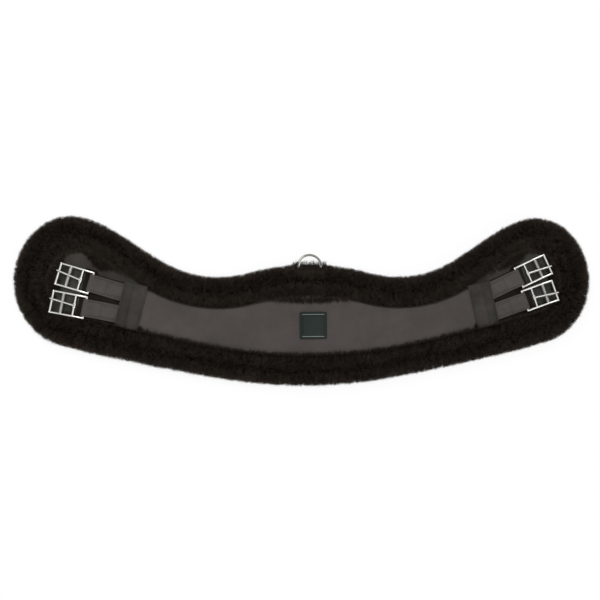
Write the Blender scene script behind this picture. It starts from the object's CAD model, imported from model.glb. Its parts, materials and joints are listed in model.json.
# %% [markdown]
# # Dressing a saddle girth
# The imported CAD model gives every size, joint and steel part. This lesson adds what CAD leaves out: the fur
# pile, the sewn fabric, the stitches and the finishes. Lengths are in millimetres until a mesh is made.
# Only the camera, the lamps and the inputs of node trees and materials are in metres.

import json
import math

import bmesh
import bpy
import numpy as np
from mathutils import Matrix, Vector, noise

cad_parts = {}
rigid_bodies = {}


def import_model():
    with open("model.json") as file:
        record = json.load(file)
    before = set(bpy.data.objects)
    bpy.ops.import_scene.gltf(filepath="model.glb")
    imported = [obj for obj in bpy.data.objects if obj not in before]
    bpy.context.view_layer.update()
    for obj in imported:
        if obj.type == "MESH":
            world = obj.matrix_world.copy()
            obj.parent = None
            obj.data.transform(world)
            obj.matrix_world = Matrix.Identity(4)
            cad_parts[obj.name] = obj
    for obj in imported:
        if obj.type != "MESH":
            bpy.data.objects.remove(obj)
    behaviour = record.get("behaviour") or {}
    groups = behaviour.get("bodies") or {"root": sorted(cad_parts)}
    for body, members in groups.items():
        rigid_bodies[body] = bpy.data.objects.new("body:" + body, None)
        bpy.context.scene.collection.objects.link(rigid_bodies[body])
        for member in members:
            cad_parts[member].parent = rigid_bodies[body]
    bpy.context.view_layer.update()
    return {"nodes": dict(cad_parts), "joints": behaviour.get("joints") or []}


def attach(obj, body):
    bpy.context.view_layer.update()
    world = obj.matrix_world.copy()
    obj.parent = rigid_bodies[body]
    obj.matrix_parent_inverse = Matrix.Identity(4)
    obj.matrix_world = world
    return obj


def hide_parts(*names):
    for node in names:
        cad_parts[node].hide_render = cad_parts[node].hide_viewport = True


MM = 0.001
CORNERS = ["left_front", "left_rear", "right_front", "right_rear"]
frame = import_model()
joints = {joint["name"]: joint for joint in frame["joints"]}
scene = bpy.context.scene


def show(name, data):
    """New object in the scene."""
    made = bpy.data.objects.new(name, data)
    scene.collection.objects.link(made)
    return made


# %% [markdown]
# ## Camera
# The photograph looks straight down on the girth, from a little to the left. A long lens 1.5 m away keeps
# the two ends nearly the same size, as they are there. The camera is aimed with a matrix, so that up in the
# picture is +Y.

# %% Camera
CAMERA_YAW, CAMERA_FAR = math.radians(6.03), 1.5
AIM, PICTURE_UP = Vector((-0.0137, 0.0029, 0.02)), Vector((0.0036, 1, 0))
backwards = Vector((-math.sin(CAMERA_YAW), 0, math.cos(CAMERA_YAW)))
sideways = PICTURE_UP.normalized().cross(backwards).normalized()
upwards = backwards.cross(sideways)
lens = bpy.data.cameras.new("camera")
lens.lens, lens.sensor_width = 64.64, 36
camera = show("camera", lens)
facing = Matrix((sideways, upwards, backwards)).transposed().to_4x4()
camera.matrix_world = Matrix.Translation(AIM + backwards * CAMERA_FAR) @ facing
scene.camera = camera
print("camera at", [round(v, 3) for v in camera.location])

# %% [markdown]
# ## The outline
# The girth's edge is made of arcs that run into each other: belly, flank, lobe, elbow and front bump. Each
# point is kept with its outward normal, because a point that lies d inside the edge is then just the point
# minus d normals. The elbow is hollow, so its radius is negative. A straight line joins it to the lobe.

# %% Outline
LOBE_R, LOBE_X, DEPTH, MIDDLE = 88, 315, 232, 167
BUMP_R, SLOPE, ELBOW_R, BELLY_R, BELLY_HALF = 320, 37, 150, 780, 170
EDGE_STEP = 3


def turned(degrees):
    """Unit vector at an angle."""
    return np.array([math.cos(math.radians(degrees)), math.sin(math.radians(degrees))])


def angle_of(vector):
    return math.degrees(math.atan2(vector[1], vector[0]))


lobe_c = np.array([LOBE_X, DEPTH / 2 - LOBE_R])
belly_c = np.array([0, BELLY_R - DEPTH / 2])
bump_c = np.array([0, MIDDLE - DEPTH / 2 - BUMP_R])
shoulder = -turned(SLOPE)
to_elbow = lobe_c + turned(SLOPE + 90) * (LOBE_R + ELBOW_R) - bump_c
along = to_elbow @ shoulder
elbow_run = -along - math.sqrt(along**2 - to_elbow @ to_elbow + (BUMP_R + ELBOW_R) ** 2)
elbow_c = bump_c + to_elbow + shoulder * elbow_run
bump_end = angle_of(elbow_c - bump_c)
belly_end = math.degrees(math.asin(BELLY_HALF / BELLY_R)) - 90
to_flank = belly_c + BELLY_R * turned(belly_end) - lobe_c
flank_r = (to_flank @ to_flank - LOBE_R**2) / (2 * (to_flank @ turned(belly_end) - LOBE_R))
flank_c = lobe_c + to_flank - flank_r * turned(belly_end)
flank_end = angle_of(lobe_c - flank_c)


def edge_line(step):
    """Points round the edge and their outward normals, anticlockwise from the middle of the belly."""
    arcs = [
        (belly_c, BELLY_R, -90, belly_end),
        (flank_c, flank_r, belly_end, flank_end),
        (lobe_c, LOBE_R, flank_end, 90 + SLOPE),
        (elbow_c, -ELBOW_R, 90 + SLOPE, bump_end),
        (bump_c, BUMP_R, bump_end, 90),
    ]
    points, normals = [], []
    for centre, radius, start, end in arcs:
        if points:
            gap = centre + radius * turned(start) - points[-1]
            steps = int(np.linalg.norm(gap) / step)
            points += [points[-1] + gap * k / steps for k in range(1, steps)]
            normals += [turned(start)] * (steps - 1)
        count = max(2, int(abs(radius * math.radians(end - start)) / step))
        for k in range(count + (centre is bump_c)):
            normals.append(turned(start + (end - start) * k / count))
            points.append(centre + radius * normals[-1])
    half = len(points)
    points += [p * [-1, 1] for p in points[-2:0:-1]]
    normals += [n * [-1, 1] for n in normals[-2:0:-1]]
    return np.array(points), np.array(normals), half


rim, rim_out, half_count = edge_line(EDGE_STEP)
print(len(rim), "points round the edge,", round(float(np.ptp(rim[:, 0])), 1), "mm long")

# %% [markdown]
# ## Where things lie
# Fibres have to lie on the face band, pass under the buckles and stay clear of the ring. For that the
# script needs the distance of any point from the edge. It is worked out once on a 2 mm grid and then read
# between the grid's points.

# %% Distance from the edge
GRID = 2.0
grid_x, grid_y = np.arange(-412, 414, GRID), np.arange(-126, 128, GRID)


def grid_points(x, y):
    return np.stack(np.meshgrid(x, y, indexing="ij"), -1).reshape(-1, 2)


nearest = [
    np.sqrt(((part[:, None] - rim[None]) ** 2).sum(-1)).min(1)
    for part in np.array_split(grid_points(grid_x, grid_y), 60)
]
nearest = np.concatenate(nearest).reshape(len(grid_x), len(grid_y))


def depth_inside(x, y):
    """Distance of points from the edge, in mm."""
    fx = np.clip((x - grid_x[0]) / GRID, 0, len(grid_x) - 1.001)
    fy = np.clip((y - grid_y[0]) / GRID, 0, len(grid_y) - 1.001)
    i, j = fx.astype(int), fy.astype(int)
    fx, fy = fx - i, fy - j
    low = nearest[i, j] * (1 - fx) + nearest[i + 1, j] * fx
    high = nearest[i, j + 1] * (1 - fx) + nearest[i + 1, j + 1] * fx
    return low * (1 - fy) + high * fy


def ease(value, start, end):
    """Smooth step from 0 at start to 1 at end."""
    t = np.clip((value - start) / (end - start), 0, 1)
    return t * t * (3 - 2 * t)


print("the lobe's middle lies", round(float(depth_inside(*lobe_c[:, None])[0]), 1), "mm inside")

# %% [markdown]
# ## Small tools
# A few helpers do the work that every piece needs: one makes a mesh object with outward faces, one joins
# rows of points into quads, one adds a node to a tree with its inputs set or linked, and one makes a piece
# ride on the girth.

# %% Helpers
def make_piece(name, points, faces, *materials, outward=True):
    """New mesh object from points in mm."""
    mesh = bpy.data.meshes.new(name)
    mesh.from_pydata(np.asarray(points, float) * MM, [], faces)
    if outward:
        work = bmesh.new()
        work.from_mesh(mesh)
        bmesh.ops.recalc_face_normals(work, faces=work.faces)
        work.to_mesh(mesh)
        work.free()
    mesh.polygons.foreach_set("use_smooth", [True] * len(mesh.polygons))
    for material in materials:
        mesh.materials.append(material)
    return show(name, mesh)


def quads(rows, columns, tube=False, ring=False):
    """Faces that join a grid of points. The rows of a tube are loops, and it has caps unless it is a ring."""
    faces = []
    for i in range(rows if ring else rows - 1):
        k = (i + 1) % rows
        for j in range(columns if tube else columns - 1):
            m = (j + 1) % columns
            faces.append((i * columns + j, k * columns + j, k * columns + m, i * columns + m))
    if tube and not ring:
        faces += [tuple(range(columns)), tuple(range((rows - 1) * columns, rows * columns))]
    return faces


def add(tree, kind, links=None, **settings):
    """Outputs of a new node in a tree. Links give an input, by name or number, a value or another output."""
    made = tree.nodes.new(kind)
    for name, value in settings.items():
        setattr(made, name, value)
    for key, value in (links or {}).items():
        if isinstance(value, bpy.types.NodeSocket):
            tree.links.new(value, made.inputs[key])
        else:
            made.inputs[key].default_value = value
    return made.outputs


def fit(piece, slot, *nodes, padded=None):
    """The piece rides on the girth, stands for CAD nodes and takes its finish from a slot."""
    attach(piece, "girth")
    if nodes:
        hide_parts(*nodes)
    return piece


# %% [markdown]
# ## Shared surface effects
# Cloth and leather are uneven in the same few ways, so each way is one node group that any material can
# use: a plain weave of crossing threads, a pebbled grain, and a slow cloudiness. The groups only put out
# heights and masks. The shader stays in each material.

# %% Weave, grain and cloud groups
SIZED = {"Vector": "Vector", "Size": "Float"}
PEBBLE_DRIFT = 0.0012


def new_group(name, kind, inputs, outputs):
    """New node tree with named sockets of given kinds: the tree, what goes in and where results go."""
    tree = bpy.data.node_groups.new(name, kind)
    for way, kinds in (("INPUT", inputs), ("OUTPUT", outputs)):
        for label, socket in kinds.items():
            tree.interface.new_socket(label, in_out=way, socket_type="NodeSocket" + socket)
    return tree, add(tree, "NodeGroupInput"), tree.nodes.new("NodeGroupOutput").inputs


def maths(tree, operation, *values):
    return add(tree, "ShaderNodeMath", dict(enumerate(values)), operation=operation)[0]


def build_weave():
    """Plain weave: threads run both ways and take turns on top."""
    tree, given, made = new_group("plain_weave", "ShaderNodeTree", SIZED, {"Height": "Float"})
    place = add(tree, "ShaderNodeSeparateXYZ", {0: given["Vector"]})
    threads = [maths(tree, "DIVIDE", place[k], given["Size"]) for k in (0, 1)]
    turns = [maths(tree, "MULTIPLY", maths(tree, "FRACT", thread), math.pi) for thread in threads]
    count = maths(tree, "ADD", *[maths(tree, "FLOOR", thread) for thread in threads])
    over = maths(tree, "FLOORED_MODULO", count, 2.0)
    arches = [maths(tree, "SINE", turn) for turn in turns]
    pick = add(tree, "ShaderNodeMix", {0: over, 2: arches[0], 3: arches[1]})
    tree.links.new(pick[0], made["Height"])
    return tree


def build_grain():
    """Pebbled grain of leather: rounded cells with creases between them."""
    tree, given, made = new_group("pebbled_grain", "ShaderNodeTree", SIZED, {"Height": "Float"})
    scale = maths(tree, "DIVIDE", 1.0, given["Size"])
    bend = add(tree, "ShaderNodeTexNoise", {"Vector": given["Vector"], "Scale": scale, "Detail": 2.0})
    drift = {0: bend["Color"], "Scale": PEBBLE_DRIFT}
    drift = add(tree, "ShaderNodeVectorMath", drift, operation="SCALE")[0]
    place = add(tree, "ShaderNodeVectorMath", {0: given["Vector"], 1: drift})[0]
    cell = add(tree, "ShaderNodeTexVoronoi", {"Vector": place, "Scale": scale}, feature="F1")
    height = maths(tree, "SUBTRACT", 1.0, maths(tree, "POWER", cell["Distance"], 2.0))
    tree.links.new(height, made["Height"])
    return tree


def build_cloud():
    """Slow unevenness of a dyed surface, between 0 and 1."""
    inputs = SIZED | {"Contrast": "Float"}
    tree, given, made = new_group("cloudy_dye", "ShaderNodeTree", inputs, {"Amount": "Float"})
    look = {"Scale": maths(tree, "DIVIDE", 1.0, given["Size"]), "Detail": 4.0, "Roughness": 0.6}
    cloud = add(tree, "ShaderNodeTexNoise", {"Vector": given["Vector"]} | look)
    centred = maths(tree, "SUBTRACT", cloud[0], 0.5)
    amount = maths(tree, "MULTIPLY_ADD", centred, given["Contrast"], 0.5)
    tree.links.new(add(tree, "ShaderNodeClamp", {0: amount})[0], made["Amount"])
    return tree


WEAVE, GRAIN, CLOUD = build_weave(), build_grain(), build_cloud()
print("node groups:", [group.name for group in (WEAVE, GRAIN, CLOUD)])

# %% [markdown]
# ## Finishes
# A finish starts from two colours of the same dye, mixed by the cloud, and gets its relief from a weave or
# a grain. Colours are written as they look in daylight. Roughness and specular level are plain values on
# the shader. Cloth and leather are two sets of such values, from which a finish may differ.

# %% Material helpers
CLOTH = dict(group=WEAVE, dip=0.55, depth=0.5, cloud=0.03, contrast=1.6, rough=0.85, level=0.08)
LEATHER = dict(group=GRAIN, dip=0.5, depth=0.3, cloud=0.04, contrast=1.4, rough=0.6, level=0.12)


def linear(code):
    """Colour code as linear red, green and blue."""
    parts = [int(code[k : k + 2], 16) / 255 for k in (0, 2, 4)]
    return [v / 12.92 if v <= 0.04045 else ((v + 0.055) / 1.055) ** 2.4 for v in parts] + [1.0]


def new_material(name, **values):
    """Material with a Principled shader, whose plain values are set by socket name."""
    material = bpy.data.materials.new(name)
    material.use_nodes = True
    shader = material.node_tree.nodes["Principled BSDF"]
    for key, value in values.items():
        shader.inputs[key.replace("_", " ")].default_value = value
    return material, material.node_tree, shader


def object_place(tree):
    return add(tree, "ShaderNodeTexCoord")["Object"]


def blend_colours(tree, amount, dark, light):
    """Mix of two colours, each a code or another node's output."""
    dark, light = (linear(colour) if isinstance(colour, str) else colour for colour in (dark, light))
    return add(tree, "ShaderNodeMix", {0: amount, 6: dark, 7: light}, data_type="RGBA")[2]


def dye(tree, shader, amount, dark, light):
    tree.links.new(blend_colours(tree, amount, dark, light), shader.inputs["Base Color"])


def cloudy(tree, place, size, contrast):
    inputs = {"Vector": place, "Size": size, "Contrast": contrast}
    return add(tree, "ShaderNodeGroup", inputs, node_tree=CLOUD)[0]


def relief(tree, shader, height, strength, distance):
    bump = add(tree, "ShaderNodeBump", {"Height": height, "Strength": strength, "Distance": distance})
    tree.links.new(bump[0], shader.inputs["Normal"])


def fabric(name, dark, light, size, strength, style, turn=0.0, **changes):
    """Cloudy dye under a relief of threads or pebbles, which are darker where they dip."""
    look = style | changes
    material, tree, shader = new_material(name, Roughness=look["rough"], Specular_IOR_Level=look["level"])
    place = object_place(tree)
    lie = add(tree, "ShaderNodeMapping", {"Vector": place, "Rotation": (0, 0, math.radians(turn))})
    inputs = {"Vector": lie[0], "Size": size}
    height = add(tree, "ShaderNodeGroup", inputs, node_tree=look["group"])[0]
    shade = maths(tree, "MULTIPLY_ADD", height, look["dip"], 1 - look["dip"])
    tone = cloudy(tree, place, look["cloud"], look["contrast"])
    dye(tree, shader, maths(tree, "MULTIPLY", tone, shade), dark, light)
    relief(tree, shader, height, strength, size * look["depth"])
    return material


# %% Fabric and leather finishes
BAND_TURN, GUARD_TURN = 13.5, 14
face_leather = fabric("face_leather", "433e3b", "5c5652", 0.0011, 0.55, LEATHER)
strap_leather = fabric("strap_leather", "44403d", "5f5a56", 0.0009, 0.5, LEATHER, cloud=0.02)
band_tape = fabric("band_tape", "34312e", "55514e", 0.0007, 0.5, CLOTH, BAND_TURN)
outer_tape = fabric("outer_tape", "2f2d29", "504d47", 0.0007, 0.5, CLOTH, BAND_TURN)
panel_cloth = fabric("panel_cloth", "36332f", "524e4a", 0.0008, 0.5, CLOTH)
guard_cloth = fabric("guard_cloth", "30302c", "6c6c65", 0.0017, 0.9, CLOTH, GUARD_TURN)
shade_cloth = fabric("shade_cloth", "1d1917", "3a342f", 0.0017, 0.9, CLOTH, GUARD_TURN)
web_cloth = fabric("web_cloth", "181614", "343029", 0.0012, 0.8, CLOTH)
thread_finish = fabric("thread", "24211f", "45413e", 0.0004, 0.6, CLOTH)
badge_rubber = fabric("badge_rubber", "18201d", "2c3632", 0.0006, 0.25, LEATHER, rough=0.55, level=0.15)
frame_line = fabric("frame_line", "747c78", "98a09b", 0.0006, 0.15, LEATHER, rough=0.5)
foam_finish = fabric("foam_finish", "5b564f", "7c766d", 0.0008, 0.8, LEATHER, rough=0.95, level=0.1)
print("fabric finishes:", len(bpy.data.materials))

# %% [markdown]
# ## Steel
# The buckles and the ring are plated wire: bright, with fine rubbing marks that run all ways. The loose
# rollers are duller, because the billet straps rub on them. These CAD nodes keep their shape and only get a
# finish.

# %% Steel finishes
def steel_finish(name, dark, light, low, high):
    """Plated steel whose roughness lies between two values, higher where it is rubbed."""
    material, tree, shader = new_material(name, Metallic=1.0)
    place = object_place(tree)
    cloud = cloudy(tree, place, 0.004, 2.0)
    stretch = add(tree, "ShaderNodeMapping", {"Vector": place, "Scale": (1.0, 9.0, 3.0)})
    marks = {"Vector": stretch[0], "Scale": 900.0, "Detail": 3.0}
    marks = add(tree, "ShaderNodeTexNoise", marks)[0]
    rub = maths(tree, "MULTIPLY", cloud, marks)
    dye(tree, shader, cloud, dark, light)
    tree.links.new(maths(tree, "MULTIPLY_ADD", rub, high - low, low), shader.inputs["Roughness"])
    relief(tree, shader, marks, 0.08, 0.0001)
    return material


bright_steel = steel_finish("bright_steel", "b4b3af", "d6d5d1", 0.12, 0.34)
steel_nodes = {"d_ring": steel_finish("ring_steel", "6e6d69", "a8a7a2", 0.12, 0.34)}
rubbed_steel = steel_finish("rubbed_steel", "807f7b", "9c9b96", 0.28, 0.55)
for corner in CORNERS:
    for part, material in (("frame", bright_steel), ("tongue", bright_steel), ("roller", rubbed_steel)):
        steel_nodes[f"buckle_{part}_{corner}"] = material
for name, material in steel_nodes.items():
    mesh = frame["nodes"][name].data
    mesh.materials.clear()
    mesh.materials.append(material)
print("steel finishes on", len(steel_nodes), "CAD nodes")

# %% [markdown]
# ## Fur finish
# Each fibre carries two numbers: its tone, which it shares with its lock, and how far along the fibre a
# point is. The colour is made from these two alone: dark at the root, warm brown at the tip. So one small
# picture, laid out by tone and length, holds the colours of every fibre when the model is exported.

# %% Fur finish
def fur_finish():
    material, tree, shader = new_material("fur", Roughness=0.7, Specular_IOR_Level=0.03)
    tone, along_fibre = (
        add(tree, "ShaderNodeAttribute", attribute_name=name)["Fac"] for name in ("tone", "along")
    )
    tip = blend_colours(tree, tone, "4a4039", "645a50")
    root = blend_colours(tree, tone, "1b1713", "2a231d")
    dye(tree, shader, maths(tree, "POWER", along_fibre, 1.2), root, tip)
    return material


def skin_finish():
    """Backing that the fibres grow from, seen only in the partings."""
    material, tree, shader = new_material("fur_backing", Roughness=0.9, Specular_IOR_Level=0.03)
    cloud = cloudy(tree, object_place(tree), 0.006, 2.5)
    dye(tree, shader, cloud, "0a0807", "1d1714")
    relief(tree, shader, cloud, 0.8, 0.002)
    return material


fur, fur_backing = fur_finish(), skin_finish()
print("fur finishes made")

# %% [markdown]
# ## The roll under the fur
# On the real girth a strip of sheepskin is rolled round the edge and sewn down inside it. Its backing is
# swept round the outline here: the CAD roll's section, set back by the depth of the pile and made a little
# lumpy. At the ends it swells and shrinks against the CAD's arcs, as the photographed fur does. A hollow at
# the middle of the front edge leaves room for the ring and its loop.

# %% Roll section and backing
ROLL_W, ROLL_H, CROWN, BULGE_Z, FOOT, PANEL_Z = 42, 31, 20, 13, 10, 20
PILE, SKIN_FOOT, HOLLOW_Z, LUMP = 5.0, 4.2, 12.5, 0.9
# Swell all round, and its changes at the ends: direction from the lobe's middle, width in degrees, and size.
SWELL = 0.8
SWELLS = ((-143, 9, -1.6), (-100, 20, 1.7), (-55, 23, 1.2), (61, 33, 4.3), (118, 26, -5.7), (150, 13, -1.3))


def roll_section(count):
    """Section of the roll from its foot over the crown to the seam: depths, heights and outward normals."""
    a, t = np.radians(np.linspace(0, 90, 60)), np.linspace(0, 1, 60)
    depth = np.concatenate([FOOT * (1 - np.sin(a)), CROWN * (1 - np.cos(a)), CROWN + (ROLL_W - CROWN) * t])
    flank = BULGE_Z + (ROLL_H - BULGE_Z) * np.sin(a)
    fall = PANEL_Z + (ROLL_H - PANEL_Z) * (1 + np.cos(np.pi * t)) / 2
    height = np.concatenate([BULGE_Z * (1 - np.cos(a)), flank, fall])
    run = np.concatenate([[0], np.cumsum(np.hypot(np.diff(depth), np.diff(height)) + 1e-9)])
    at = np.linspace(0, run[-1], count)
    d, z = np.interp(at, run, depth), np.interp(at, run, height)
    td, tz = np.gradient(d), np.gradient(z)
    size = np.hypot(td, tz)
    return d, z, -tz / size, td / size


def ring_hollow(points):
    """Lowers points at the middle of the front edge, where the ring lies."""
    near = ease(np.abs(points[:, 0]), 23, 19.2) * ease(points[:, 1], 38, 42.4)
    points[:, 2] -= near * np.maximum(points[:, 2] - HOLLOW_Z, 0)
    return points


def lobe_angle(rows):
    """Direction in which points of the edge lie from the middle of their lobe."""
    return np.degrees(np.arctan2(rim[rows, 1] - lobe_c[1], np.abs(rim[rows, 0]) - lobe_c[0]))


def hump(value, at, width):
    """Smooth hump of height 1."""
    return np.exp(-(((value - at) / width) ** 2))


def bulge(rows, depth):
    """How far the fur stands out past the CAD roll, fading to nothing at the seam."""
    around = lobe_angle(rows)
    swell = SWELL + sum(by * hump(around, at, width) for at, width, by in SWELLS)
    return np.outer(swell, 1 - ease(depth, 8, 40))


def swept(rows, depth, z):
    """Points along a stretch of the edge: each row has its own depths, and all rows share the heights."""
    flat = rim[rows][:, None] - rim_out[rows][:, None] * depth[..., None]
    height = np.broadcast_to(z[None, :, None], flat.shape[:2] + (1,))
    return ring_hollow(np.concatenate([flat, height], 2).reshape(-1, 3))


section_d, section_z, section_nd, section_nz = roll_section(24)
grow_d, grow_z = section_d - PILE * section_nd, np.maximum(section_z - PILE * section_nz, SKIN_FOOT)
skin_d = np.concatenate([[45, 14], grow_d, [45.5]])
skin_z = np.concatenate([[4.5, 4.0], grow_z, [17.0]])
all_round = np.arange(len(rim))
skin_points = swept(all_round, skin_d - bulge(all_round, skin_d), skin_z)
lumps = np.array([noise.noise(Vector(p) * 0.07) + 0.5 * noise.noise(Vector(p) * 0.16) for p in skin_points])
skin_points[:, 2] += lumps * LUMP * ease(skin_points[:, 2], 6, 12)
skin_faces = quads(len(rim), len(skin_d), tube=True, ring=True)
roll_skin = make_piece("fur_roll_backing", skin_points, skin_faces, fur_backing)
fit(roll_skin, "fur", "fur_roll", padded=0.8)
print("roll backing:", len(roll_skin.data.polygons), "faces")

# %% [markdown]
# ## Locks of fur
# Sheepskin grows in small locks, so the pile is made of locks and not of single hairs. A lock is ten thin,
# curved blades that taper to a point. Four locks differ by chance, with a fixed seed. Every point keeps how
# far along its blade it is, for the colour, and on which side of the blade.

# %% Lock shapes
BLADES, STATIONS = 10, (0.0, 0.55, 1.0)


def set_values(mesh, name, values, kind="FLOAT", key="value"):
    """Stores a value, or a vector, on each point of a mesh."""
    layer = mesh.attributes.new(name, kind, "POINT")
    layer.data.foreach_set(key, np.asarray(values, np.float32).ravel())


def make_lock(name, seed):
    """Lock of blades with five points each: two at the root, two in the middle and the tip."""
    chance = np.random.default_rng(seed)
    points, faces, along_values, side_values = [], [], [], []
    for k in range(BLADES):
        around = 2 * math.pi * (k + chance.uniform(-0.3, 0.3)) / BLADES
        out = np.array([math.cos(around), math.sin(around), 0])
        flat = np.array([-out[1], out[0], 0])
        root, length = out * chance.uniform(0.2, 1.0), chance.uniform(7.5, 10)
        tilt, curl, sway = chance.uniform(0.05, 0.3), chance.uniform(-0.3, 0.35), chance.uniform(-0.3, 0.3)
        width, first = chance.uniform(0.15, 0.25), len(points)
        for t in STATIONS:
            rise = np.array([0, 0, t * (1 - 0.15 * t)])
            centre = root + length * (rise + (tilt * t + curl * t * t) * out + sway * t * t * flat)
            for side in (-1, 1) if t < 1 else (0,):
                points.append(centre + side * flat * width * (1 - 0.35 * t))
                along_values.append(t)
                side_values.append(side)
        faces += [tuple(first + i for i in face) for face in ((0, 1, 3, 2), (2, 3, 4))]
    lock = make_piece(name, points, faces, outward=False)
    set_values(lock.data, "along", along_values)
    set_values(lock.data, "side", side_values)
    return lock


locks = bpy.data.collections.new("locks")
scene.collection.children.link(locks)
for seed in range(4):
    lock = make_lock(f"lock_{seed}", seed)
    scene.collection.objects.unlink(lock)
    locks.objects.link(lock)

# %% [markdown]
# ## The pile as Geometry Nodes
# Locks are strewn over the backing with an even spacing. Each leans along the surface normal, then the way
# it is combed and towards the middle of its tuft, so that tufts part from each other as wool does. It also
# wanders a little with a noise and by chance. Locks in the middle of a tuft are longer. The tone is stored
# on each point, and the instances are realised at the end.

# %% Pile tree
PILE_SIZES = ("Spacing", "Length", "Upright", "Tuft Size", "Tuft Pull", "Loose")
DENSITY_MAX, DRIFT_SCALE, DRIFT, PATCH_SCALE = 600000.0, 40.0, 0.9, 55.0


def finish_tree(tree, placed, given, made):
    """Ends a tree that places instances: they become plain mesh with the given material."""
    real = add(tree, "GeometryNodeRealizeInstances", {0: placed[0]})
    worn = add(tree, "GeometryNodeSetMaterial", {"Geometry": real[0], "Material": given["Material"]})
    tree.links.new(worn[0], made[0])


def build_pile():
    inputs = {"Geometry": "Geometry"} | dict.fromkeys(PILE_SIZES, "Float")
    inputs |= {"Seed": "Int", "Locks": "Collection", "Material": "Material"}
    tree, given, made = new_group("fur_pile", "GeometryNodeTree", inputs, {"Geometry": "Geometry"})

    def vectors(operation, *values, **named):
        links = dict(enumerate(values)) | named
        return add(tree, "ShaderNodeVectorMath", links, operation=operation)[0]

    def attribute(name, kind):
        return add(tree, "GeometryNodeInputNamedAttribute", {"Name": name}, data_type=kind)[0]

    def texture(kind, scale, **settings):
        return add(tree, "ShaderNodeTex" + kind, {"Vector": place, "Scale": scale} | settings)

    def chance(low, high, shift):
        seed = maths(tree, "ADD", given["Seed"], float(shift))
        links = {2: low, 3: high, "Seed": seed}
        return add(tree, "FunctionNodeRandomValue", links, data_type="FLOAT")[1]

    links = {"Mesh": given["Geometry"], "Distance Min": given["Spacing"], "Density Max": DENSITY_MAX}
    links |= {"Density Factor": attribute("grow", "FLOAT"), "Seed": given["Seed"]}
    spread = add(tree, "GeometryNodeDistributePointsOnFaces", links, distribute_method="POISSON")
    place = add(tree, "GeometryNodeInputPosition")[0]

    tufts = texture("Voronoi", maths(tree, "DIVIDE", 1.0, given["Tuft Size"]))
    to_middle = vectors("SUBTRACT", tufts["Position"], place)
    pull = vectors("SCALE", to_middle, Scale=maths(tree, "DIVIDE", given["Tuft Pull"], given["Tuft Size"]))
    drift = texture("Noise", DRIFT_SCALE, Detail=1.0)[1]
    drift = vectors("SCALE", vectors("SUBTRACT", drift, (0.5, 0.5, 0.5)), Scale=DRIFT)
    links = {0: (-1, -1, -1), 1: (1, 1, 1), "Seed": given["Seed"]}
    wild = add(tree, "FunctionNodeRandomValue", links, data_type="FLOAT_VECTOR")[0]
    wild = vectors("SCALE", wild, Scale=given["Loose"])
    lean = vectors("SCALE", spread["Normal"], Scale=given["Upright"])
    for push in (attribute("comb", "FLOAT_VECTOR"), pull, drift, wild):
        lean = vectors("ADD", lean, push)
    stand = add(tree, "FunctionNodeAlignRotationToVector", {"Vector": lean}, axis="Z")[0]
    spin = {"Axis": (0, 0, 1), "Angle": chance(0, 6.283, 1)}
    spin = add(tree, "FunctionNodeAxisAngleToRotation", spin)[0]
    stand = add(tree, "FunctionNodeRotateRotation", {0: stand, 1: spin}, rotation_space="LOCAL")[0]

    ragged = maths(tree, "MULTIPLY", chance(0.86, 1.12, 2), attribute("length", "FLOAT"))
    domed = maths(tree, "MULTIPLY_ADD", tufts["Distance"], -0.15, 1.05)
    size = maths(tree, "MULTIPLY", maths(tree, "MULTIPLY", ragged, domed), given["Length"])
    patches = texture("Noise", PATCH_SCALE, Detail=3.0)[0]
    tone = maths(tree, "MULTIPLY_ADD", maths(tree, "SUBTRACT", patches, 0.5), 1.4, 0.6)
    tone = maths(tree, "MULTIPLY_ADD", tufts["Distance"], -0.3, tone)
    tone = add(tree, "ShaderNodeClamp", {0: maths(tree, "ADD", tone, chance(-0.2, 0.2, 3))})[0]
    links = {"Geometry": spread[0], "Name": "tone", "Value": tone}
    points = add(tree, "GeometryNodeStoreNamedAttribute", links, data_type="FLOAT", domain="POINT")

    links = {"Collection": given["Locks"], "Separate Children": True, "Reset Children": True}
    shapes = add(tree, "GeometryNodeCollectionInfo", links)
    links = {4: 0, 5: len(locks.objects) - 1, "Seed": given["Seed"]}
    which = add(tree, "FunctionNodeRandomValue", links, data_type="INT")[2]
    links = {"Points": points[0], "Instance": shapes[0], "Pick Instance": True}
    links |= {"Instance Index": which, "Rotation": stand, "Scale": size}
    finish_tree(tree, add(tree, "GeometryNodeInstanceOnPoints", links), given, made)
    return tree


def run_tree(piece, tree, **values):
    """Mesh that a Geometry Nodes tree makes from a piece, as plain data."""
    modifier = piece.modifiers.new("nodes", "NODES")
    modifier.node_group = tree
    for item in tree.interface.items_tree:
        key = item.name.replace(" ", "_")
        if item.in_out == "INPUT" and key in values:
            modifier[item.identifier] = values[key]
    graph = bpy.context.evaluated_depsgraph_get()
    made = bpy.data.meshes.new_from_object(
        piece.evaluated_get(graph), preserve_all_data_layers=True, depsgraph=graph
    )
    piece.modifiers.remove(modifier)
    return made


PILE_TREE = build_pile()
print("pile tree:", len(PILE_TREE.nodes), "nodes")

# %% [markdown]
# ## Where fibres may go
# Real wool gives way to what presses on it. After the pile is grown, fibres that reach into the buckles are
# laid under them, those over the face band lie on it, those at the ring leave the shell that its bow sweeps
# through, and none goes below the ground. The places of the cross bands, the buckles and the ring come from
# the CAD model.

# %% Cross band and buckle places
CROSS_TILT, CROSS_HALF, CROSS_W = 13.5, 29.3, 32
CROSS_OUT, CROSS_UP = turned(CROSS_TILT), turned(CROSS_TILT + 90)


def node_middle(name):
    """Middle of a CAD node's box, in mm."""
    corners = np.array([v.co for v in frame["nodes"][name].data.vertices]) / MM
    return (corners.min(0) + corners.max(0)) / 2


def joint_place(name):
    """Place of a joint, in mm, and its axis."""
    return np.array(joints[name]["pos_m"]) * 1000, np.array(joints[name]["axis"])


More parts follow.
